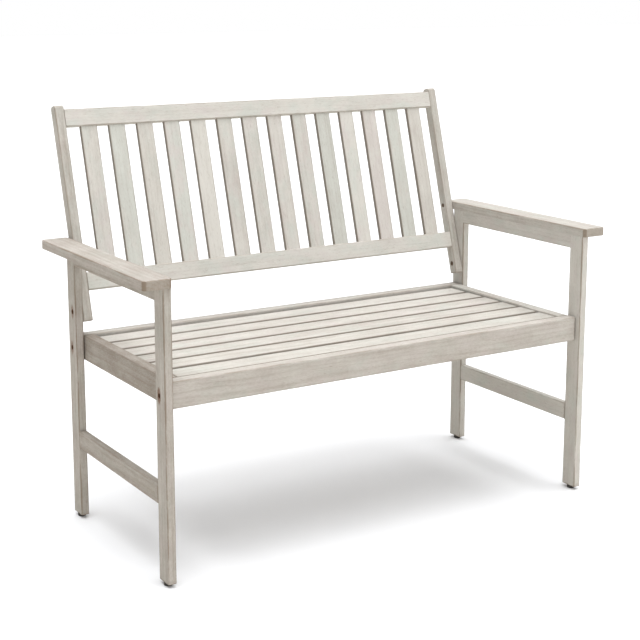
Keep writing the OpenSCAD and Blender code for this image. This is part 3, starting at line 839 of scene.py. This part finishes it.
dry_and_shaded_sided_whitewash = whitewash_finish("whitewash with dry, shaded sides", side_wear_and_shade=0.75)
slats_start = bottom_rail_rise + back_rail_height - slat_housing
slats_end = top_rail_rise + slat_housing
back_slats = {
    "Length": slats_end - slats_start,
    "Width": back_slat_width,
    "Thickness": back_slat_thickness,
    "Edge radius": back_slat_radius,
    "Count": back_slat_count,
    "First": (0.0, -back_slat_pitch * (back_slat_count - 1) / 2, 0.0),
    "Pitch": back_slat_pitch,
    "Play": slat_play,
    "Seed": 8,
    "Wash from": (-0.22, -0.22, 0.82),
    "Wash to": (0.22, 0.30, 1.0),
    "Finish": dry_and_shaded_sided_whitewash,
}
middle = stile_foot + up_the_lean * (slats_start + slats_end) / 2
middle = middle + through_the_lean * (back_slat_inset + back_slat_thickness / 2)
place = lay(middle, up_the_lean, (-1, 0, 0))
slat_nodes = [f"back_slat_{n:02d}" for n in range(1, back_slat_count + 1)]
lay_slats("back_slats", back_slats, back_slat_end_ease, place, slat_nodes)


# ---- Glides ----
# A moulded black plastic glide nailed under each leg, with a rounded lower edge and a
# shallow groove round its side.

glide_profile = [(0.0080, 0.0060), (0.0080, 0.0086), (0.0077, 0.0090), (0.0062, 0.00925),
                 (0.0058, 0.0089), (0.0053, 0.0089), (0.0049, 0.00925), (0.0020, 0.00925),
                 (0.0014, 0.00916), (0.0009, 0.00890), (0.0005, 0.00850), (0.0002, 0.00795),
                 (0.0, 0.00725), (0.0, 0.0038), (0.0004, 0.0034), (0.0004, 0.0010)]
plastic_black = (0.018, 0.017, 0.016, 1.0)
plastic_grey = (0.050, 0.047, 0.043, 1.0)
scratch_grey = (0.500, 0.480, 0.450, 1.0)


def scuff_group():
    """Fine scratches and dull spots on metal and plastic, in their own two masks."""
    takes = [("Place", "Vector"), ("Per metre", "Float")]
    gives = [("Scratches", "Float"), ("Dull spots", "Float")]
    group, taken, given = start_group("scuffs", takes, gives)
    lines = mottle(group, stretch(group, taken["Place"], 9), 2600, 2).outputs[0]
    group.links.new(fade(group, lines, 0.58, 0.7), given["Scratches"])
    spots = mottle(group, taken["Place"], taken["Per metre"], 4, 0.6).outputs[0]
    group.links.new(fade(group, spots, 0.42, 0.66), given["Dull spots"])
    return group


def scuffed_finish(name, fresh, dull, metallic, per_metre, smooth=0.38, rough=0.62):
    """Metal or plastic that has dulled in patches and picked up scratches."""
    finish, tree, shader = start_finish(name)
    shader.inputs["Metallic"].default_value = metallic
    scuff = add_node(tree, "ShaderNodeGroup", {}, node_tree=scuffs)
    tree.links.new(add_node(tree, "ShaderNodeTexCoord", {}).outputs["Object"], scuff.inputs["Place"])
    scuff.inputs["Per metre"].default_value = per_metre
    colour = cover(tree, scuff.outputs["Dull spots"], fresh, dull)
    colour = cover(tree, times(tree, scuff.outputs["Scratches"], 0.35), colour, scratch_grey)
    tree.links.new(colour, shader.inputs["Base Color"])
    wear = plus(tree, scuff.outputs["Dull spots"], times(tree, scuff.outputs["Scratches"], 0.4))
    give_gloss(tree, shader, wear, smooth, rough)
    give_relief(tree, shader, wear, 0.0002, 0.25)
    return finish


def fixing_grid_tree():
    """Like fixings on a grid of points. Each starts upright with its head up, is tipped
    over towards +X, faces its own side of the bench, and stops at its own turn."""
    takes = [("Fixing", "Object"), ("Across", "Int"), ("Deep", "Int"), ("Span across", "Float"),
             ("Span deep", "Float"), ("Middle", "Vector"), ("Tip", "Float"), ("Seed", "Int"),
             ("Finish", "Material")]
    tree, taken, out = start_tree("fixing grid", takes)
    sizes = {"Size X": taken["Span across"], "Size Y": taken["Span deep"],
             "Vertices X": taken["Across"], "Vertices Y": taken["Deep"]}
    grid = shape_node(tree, "MeshGrid", sizes)
    points = shape_node(tree, "Transform", {"Geometry": grid, "Translation": taken["Middle"]})
    x = add_node(tree, "ShaderNodeSeparateXYZ", {0: shape_node(tree, "InputPosition", {})}).outputs[0]
    face_left = times(tree, reckon(tree, "LESS_THAN", x, -0.001), math.pi)
    pose = add_node(tree, "ShaderNodeCombineXYZ", {"Y": taken["Tip"], "Z": face_left}).outputs[0]
    fixing = add_node(tree, "GeometryNodeObjectInfo", {"Object": taken["Fixing"]}).outputs["Geometry"]
    spread = {"Points": points, "Instance": fixing, "Rotation": pose}
    copies = shape_node(tree, "InstanceOnPoints", spread)
    any_turn = {"Max": 2 * math.pi, "Seed": taken["Seed"]}
    turn = add_node(tree, "FunctionNodeRandomValue", any_turn, data_type="FLOAT").outputs["Value"]
    about = add_node(tree, "ShaderNodeCombineXYZ", {"Z": turn}).outputs[0]
    turned = {"Instances": copies, "Rotation": about, "Local Space": True}
    copies = shape_node(tree, "RotateInstances", turned)
    solid = shape_node(tree, "RealizeInstances", {"Geometry": copies})
    tree.links.new(shape_node(tree, "SetMaterial", {"Geometry": solid, "Material": taken["Finish"]}), out)
    return tree


def drive_home(name, fixing, cad_nodes, finish, seed, tip, middle, across, deep=(1, 0.0), place=None):
    """Sets copies of a fixing into the bench in place of the CAD's. Across and deep each say
    how many there are that way, and how far it is from the first to the last."""
    values = {"Fixing": fixing, "Across": across[0], "Span across": across[1], "Deep": deep[0],
              "Span deep": deep[1], "Middle": middle, "Tip": tip, "Seed": seed, "Finish": finish}
    fixings = grow(name, fixing_grid, values)
    settle(fixings)
    bpy.data.objects.remove(fixing)
    if place is not None:
        fixings.data.transform(place)
    soften(fixings.data)
    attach(fixings, "root")
    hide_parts(*cad_nodes)


scuffs = scuff_group()
fixing_grid = fixing_grid_tree()
black_plastic = scuffed_finish("black plastic", plastic_black, plastic_grey, metallic=0.0, per_metre=260)
first_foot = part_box("left_front_glide")
last_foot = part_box("right_rear_glide")
first_middle = (first_foot[0] + first_foot[1]) / 2
last_middle = (last_foot[0] + last_foot[1]) / 2
glide_nodes = [f"{side}_{end}_glide" for side in ("left", "right") for end in ("front", "rear")]
glides_middle = (0.0, (first_middle.y + last_middle.y) / 2, 0.0)
glides_across = (2, last_middle.x - first_middle.x)
glides_deep = (2, last_middle.y - first_middle.y)
glide = turned_shape("glide", glide_profile)
drive_home("glides", glide, glide_nodes, black_plastic, seed=3, tip=0.0,
           middle=glides_middle, across=glides_across, deep=glides_deep)


# ---- Bolts and sleeve nuts ----
# Bronzed furniture bolts with hexagon sockets, sunk in the counterbores: four hold the
# seat, two the foot of the backrest and two the arms. Sleeve nuts take the lower two.

bolt_head_height = 0.005
bolt_shank_radius = 0.003
key_apothem = 0.002
key_depth = 0.0025
seat_bolt_length = 0.060
backrest_bolt_length = 0.024
arm_bolt_length = 0.045
sleeve_head_radius = 0.006
sleeve_head_height = 0.002
sleeve_radius = 0.00425
sleeve_length = 0.012
bronze_brown = (0.170, 0.120, 0.085, 1.0)
bronze_dark = (0.085, 0.058, 0.042, 1.0)


def hex_key(angle):
    """How far the wall of the key's socket is from its middle, at an angle."""
    return key_apothem / math.cos((angle + math.pi / 6) % (math.pi / 3) - math.pi / 6)


def socket_bolt(name, shank_length, head_radius=bolt_head_radius, head_height=bolt_head_height,
                shank_radius=bolt_shank_radius):
    """A bolt with its head up and the head's face at the origin."""
    rim = 0.0006
    foot = -head_height - shank_length
    profile = [(-key_depth - 0.0005, 0.0004), (-key_depth, hex_key), (-0.0003, hex_key),
               (0.0, lambda angle: hex_key(angle) + 0.0003), (0.0, head_radius - rim),
               (-0.3 * rim, head_radius - 0.3 * rim), (-rim, head_radius),
               (-head_height, head_radius), (-head_height, shank_radius),
               (foot + 0.001, shank_radius), (foot, shank_radius - 0.0007)]
    return turned_shape(name, profile)


bronzed_steel = scuffed_finish("bronzed steel", bronze_brown, bronze_dark, metallic=0.8, per_metre=420,
                               smooth=0.36)
outwards = math.pi / 2
inwards = -math.pi / 2
seat_bolt = socket_bolt("seat bolt", seat_bolt_length)
drive_home("bolts_seat", seat_bolt, ["seat_bolts"], bronzed_steel, seed=5,
           tip=outwards, middle=(0.0, (front_bolt_y + rear_bolt_y) / 2, seat_bolt_z),
           across=(2, bolt_high.x - bolt_low.x), deep=(2, rear_bolt_y - front_bolt_y))

backrest_bolt = socket_bolt("backrest bolt", backrest_bolt_length)
drive_home("bolts_backrest", backrest_bolt, ["backrest_bolts"], bronzed_steel, seed=6,
           tip=outwards, middle=(0.0, pivot.y, pivot.z), across=(2, pivot_high.x - pivot_low.x))

# the sleeve nuts and arm bolts face inwards, from the stiles' inner faces
sleeve_face = stile_low.x + sleeve_recess_depth - sleeve_head_height
sleeve = socket_bolt("sleeve nut", sleeve_length, sleeve_head_radius, sleeve_head_height, sleeve_radius)
drive_home("sleeve_nuts", sleeve, ["backrest_sleeve_nuts"], bronzed_steel, seed=9,
           tip=inwards, middle=(0.0, pivot.y, pivot.z), across=(2, 2 * sleeve_face))

arm_fixing = socket_bolt("arm bolt", arm_bolt_length)
drive_home("bolts_arms", arm_fixing, ["arm_bolts"], bronzed_steel, seed=12,
           tip=inwards, middle=(0.0, arm_bolt.y, arm_bolt.z), across=(2, 2 * stile_low.x))


# ---- Screws under the seat ----
# Countersunk cross-head screws: eighteen up through the battens into the slats, and
# three through each outer batten into the short rail beside it.

screw_proud = 0.0002
slat_screw_width = 0.0035
slat_screw_length = 0.030
batten_screw_width = 0.004
batten_screw_length = 0.040


def cross_slot(radius, half_width):
    """The outline of a cross-head's recess, as a distance from its middle at an angle."""
    def reach(angle):
        c = max(abs(math.cos(angle)), 1e-6)
        s = max(abs(math.sin(angle)), 1e-6)
        return max(min(radius / c, half_width / s), min(radius / s, half_width / c))
    return reach


def countersunk_screw(name, shank_width, length):
    """A wood screw with its head up, its head's face just proud of the origin."""
    head = shank_width
    slot = cross_slot(0.55 * head, 0.14 * head)
    small_slot = cross_slot(0.22 * head, 0.08 * head)
    profile = [(-0.0012, small_slot), (screw_proud, slot), (screw_proud, head - 0.0001),
               (screw_proud - 0.0001, head), (-0.0001, head), (-shank_width / 2, shank_width / 2),
               (-length + 2 * shank_width, shank_width / 2), (-length, 0.0003)]
    return turned_shape(name, profile)


batten_low, batten_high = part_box("seat_right_batten")
batten_reach = (batten_low.x + batten_high.x) / 2
slat_screw = countersunk_screw("slat screw", slat_screw_width, slat_screw_length)
drive_home("screws_slats", slat_screw, ["slat_screws"], bronzed_steel, seed=14,
           tip=math.pi, middle=(0.0, seat_slope / 2, -seat_slat_thickness - batten_height),
           across=(3, 2 * batten_reach), deep=(seat_slat_count, (seat_slat_count - 1) * seat_slat_pitch),
           place=seat_frame)

screw_low, screw_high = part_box("batten_screws")
screw_head_radius = batten_screw_width
batten_screw = countersunk_screw("batten screw", batten_screw_width, batten_screw_length)
drive_home("screws_battens", batten_screw, ["batten_screws"], bronzed_steel, seed=17,
           tip=inwards, middle=(0.0, (screw_low.y + screw_high.y) / 2, (screw_low.z + screw_high.z) / 2),
           across=(2, 2 * batten_low.x), deep=(3, screw_high.y - screw_low.y - 2 * screw_head_radius))


# ---- Barrel nuts, spacers, nails and dowels ----
# Barrel nuts up inside the long rails, washers on the seat's bolts and nails inside the
# glides, in the same bronzed steel, and the raw acacia dowels hidden in the joints.

out_of_sight = {
    "seat_barrel_nuts": bronzed_steel,
    "seat_spacers": bronzed_steel,
    "glide_nails": bronzed_steel,
    "arm_dowels": bare_wood,
    "seat_dowels": bare_wood,
}
for name, finish in out_of_sight.items():
    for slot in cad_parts[name].material_slots:
        slot.material = finish


# ---- Studio ----
# A plain white floor that runs out of sight, two big soft lights overhead, one a little
# behind the bench and one before it, a weak one from the front right, and even light all
# round. The camera sees the floor and the backdrop brighter than they light the bench.


def show_and_light(tree, way_out, shown, lights):
    """Shows the camera one shader, and lights everything else by another."""
    seen = add_node(tree, "ShaderNodeLightPath", {}).outputs["Is Camera Ray"]
    either = {0: seen, 1: lights.outputs[0], 2: shown.outputs[0]}
    mixed = add_node(tree, "ShaderNodeMixShader", either)
    tree.links.new(mixed.outputs[0], tree.nodes[way_out].inputs["Surface"])


floor_shape = bmesh.new()
bmesh.ops.create_grid(floor_shape, x_segments=2, y_segments=2, size=30)
floor_mesh = bpy.data.meshes.new("studio_floor")
floor_shape.to_mesh(floor_mesh)
floor_shape.free()
floor = put_in_scene("studio_floor", floor_mesh)
paint, paint_tree, paper = start_finish("floor paint")
paper.inputs["Base Color"].default_value = (0.875, 0.885, 0.905, 1.0)
paper.inputs["Roughness"].default_value = 0.9
paper.inputs["Emission Color"].default_value = (1.0, 1.0, 1.0, 1.0)
paper.inputs["Emission Strength"].default_value = 0.055
matt = add_node(paint_tree, "ShaderNodeBsdfDiffuse", {"Color": (0.73, 0.71, 0.67, 1.0)})
show_and_light(paint_tree, "Material Output", paper, matt)
floor_mesh.materials.append(paint)

suns = {
    "overhead_behind": (2.15, 58, (0.0, -0.17, -1.0)),
    "overhead_before": (1.6, 58, (0.0, 0.30, -1.0)),
    "front_right": (0.85, 110, (-0.50, 1.0, -0.40)),
}
for name, (strength, spread, shines) in suns.items():
    lamp = bpy.data.lights.new(name, "SUN")
    lamp.energy = strength
    lamp.angle = math.radians(spread)
    holder = put_in_scene(name, lamp)
    holder.rotation_euler = Vector(shines).to_track_quat("-Z", "Y").to_euler()

sky = bpy.data.worlds.new("studio")
bpy.context.scene.world = sky
sky.use_nodes = True
sky_tree = sky.node_tree
around = sky_tree.nodes["Background"]
around.inputs["Color"].default_value = (1.0, 1.0, 1.0, 1.0)
around.inputs["Strength"].default_value = 0.38
backdrop = add_node(sky_tree, "ShaderNodeBackground", {"Color": (1.0, 1.0, 1.0, 1.0), "Strength": 1.0})
show_and_light(sky_tree, "World Output", backdrop, around)

bpy.context.scene.view_settings.view_transform = "Standard"
bpy.context.scene.view_settings.look = "None"


# ---- Camera ----
# Off the bench's front left corner, a little above the backrest and looking down at it,
# with a long lens so that the boards stay nearly parallel.

camera_dip = 10.606
camera_turn = 31.715

camera_data = bpy.data.cameras.new("camera")
camera_data.sensor_width = 36.0
camera_data.lens = 79.24
camera_data.shift_x = 0.0107
camera_data.shift_y = -0.1094
camera = put_in_scene("camera", camera_data)
camera.location = (-1.7195, -2.7461, 1.2068)
camera.rotation_euler = (math.radians(90 - camera_dip), 0.0, math.radians(-camera_turn))
bpy.context.scene.camera = camera
